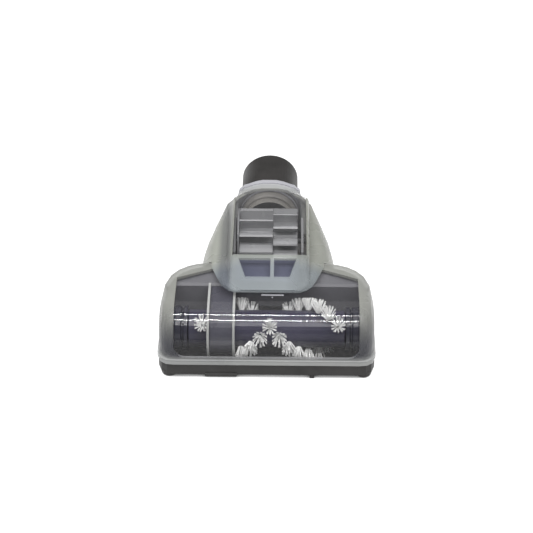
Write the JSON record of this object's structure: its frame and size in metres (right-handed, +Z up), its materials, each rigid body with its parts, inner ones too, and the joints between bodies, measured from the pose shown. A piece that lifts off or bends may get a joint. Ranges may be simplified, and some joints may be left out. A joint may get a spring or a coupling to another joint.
{
  "type": "vacuum turbo brush",
  "caption": "Air-driven vacuum brush head with a see-through cover, a spinning bristle roller, a belt, a turbine and a swivelling round neck.",
  "frame": {"origin": "middle of the whole object's box in plan, on the floor under the feet", "axes": "+Y towards the neck and wand, -Y the front edge of the head, +X to the right seen from the front, +Z up"},
  "size_m": [0.1508, 0.212, 0.0575],
  "materials": {
    "base": "fine satin moulded plastic, almost black",
    "smoke_frame": "smoke-tinted translucent polycarbonate, softly frosted",
    "clear_cover": "clear smoke polycarbonate, polished",
    "inner_grey": "grey moulded plastic",
    "inlet_blue": "dark blue-grey moulded plastic",
    "collar_grey": "light grey moulded plastic, satin",
    "roller_navy": "navy charcoal plastic, glossy",
    "bristle": "white nylon bristle tufts",
    "steel": "turned steel",
    "belt_rubber": "black rubber"
  },
  "bodies": {
    "housing": {"base_shell": "base", "base_screw_1": "steel", "base_screw_2": "steel", "base_screw_3": "steel", "base_screw_4": "steel", "head_frame": "smoke_frame", "roller_window": "clear_cover", "tail_cover": "smoke_frame", "turbine_window": "clear_cover", "inlet_tray": "inlet_blue", "chamber_wall": "roller_navy", "belt_guard": "roller_navy", "belt_guard_rib_left": "clear_cover", "belt_guard_rib_right": "clear_cover", "roller_bearing_left": "inner_grey", "roller_bearing_right": "inner_grey", "turbine_plate_left": "inner_grey", "turbine_plate_right": "inner_grey", "turbine_bush_left": "steel", "turbine_bush_right": "steel", "drive_belt": "belt_rubber", "neck_collar": "collar_grey", "neck_seat_ring": "collar_grey", "wheel_pin_left": "steel", "wheel_pin_right": "steel"},
    "brush_roller": {"roller_core": "roller_navy", "roller_pulley": "base", "roller_cap_left": "base", "roller_cap_right": "base", "roller_axle": "steel", "bristle_row_a_left": "bristle", "bristle_row_a_main": "bristle", "bristle_row_b_left": "bristle", "bristle_row_b_main": "bristle"},
    "turbine": {"turbine_wheel_left": "inner_grey", "turbine_wheel_right": "inner_grey", "turbine_disc": "inner_grey", "turbine_shaft": "steel", "turbine_pinion": "base"},
    "neck": {"neck_tube": "base"},
    "wheel_left": {"rear_wheel_left": "collar_grey"},
    "wheel_right": {"rear_wheel_right": "collar_grey"}
  },
  "joints": [
    {"name": "brush_spin", "type": "hinge", "parent": "housing", "child": "brush_roller", "pos_m": [0, -0.07865, 0.0225], "axis": [1, 0, 0], "continuous": true},
    {"name": "turbine_spin", "type": "hinge", "parent": "housing", "child": "turbine", "pos_m": [0, 0.01755, 0.03], "axis": [1, 0, 0], "continuous": true},
    {"name": "neck_swivel", "type": "hinge", "parent": "housing", "child": "neck", "pos_m": [0, 0.05855, 0.0285], "axis": [0, 1, 0], "continuous": true},
    {"name": "wheel_left_spin", "type": "hinge", "parent": "housing", "child": "wheel_left", "pos_m": [-0.0385, -0.01745, 0.009], "axis": [1, 0, 0], "continuous": true},
    {"name": "wheel_right_spin", "type": "hinge", "parent": "housing", "child": "wheel_right", "pos_m": [0.0385, -0.01745, 0.009], "axis": [1, 0, 0], "continuous": true}
  ],
  "couplings": [
    {"joint": "turbine_spin", "follows": "brush_spin", "ratio": 3}
  ]
}
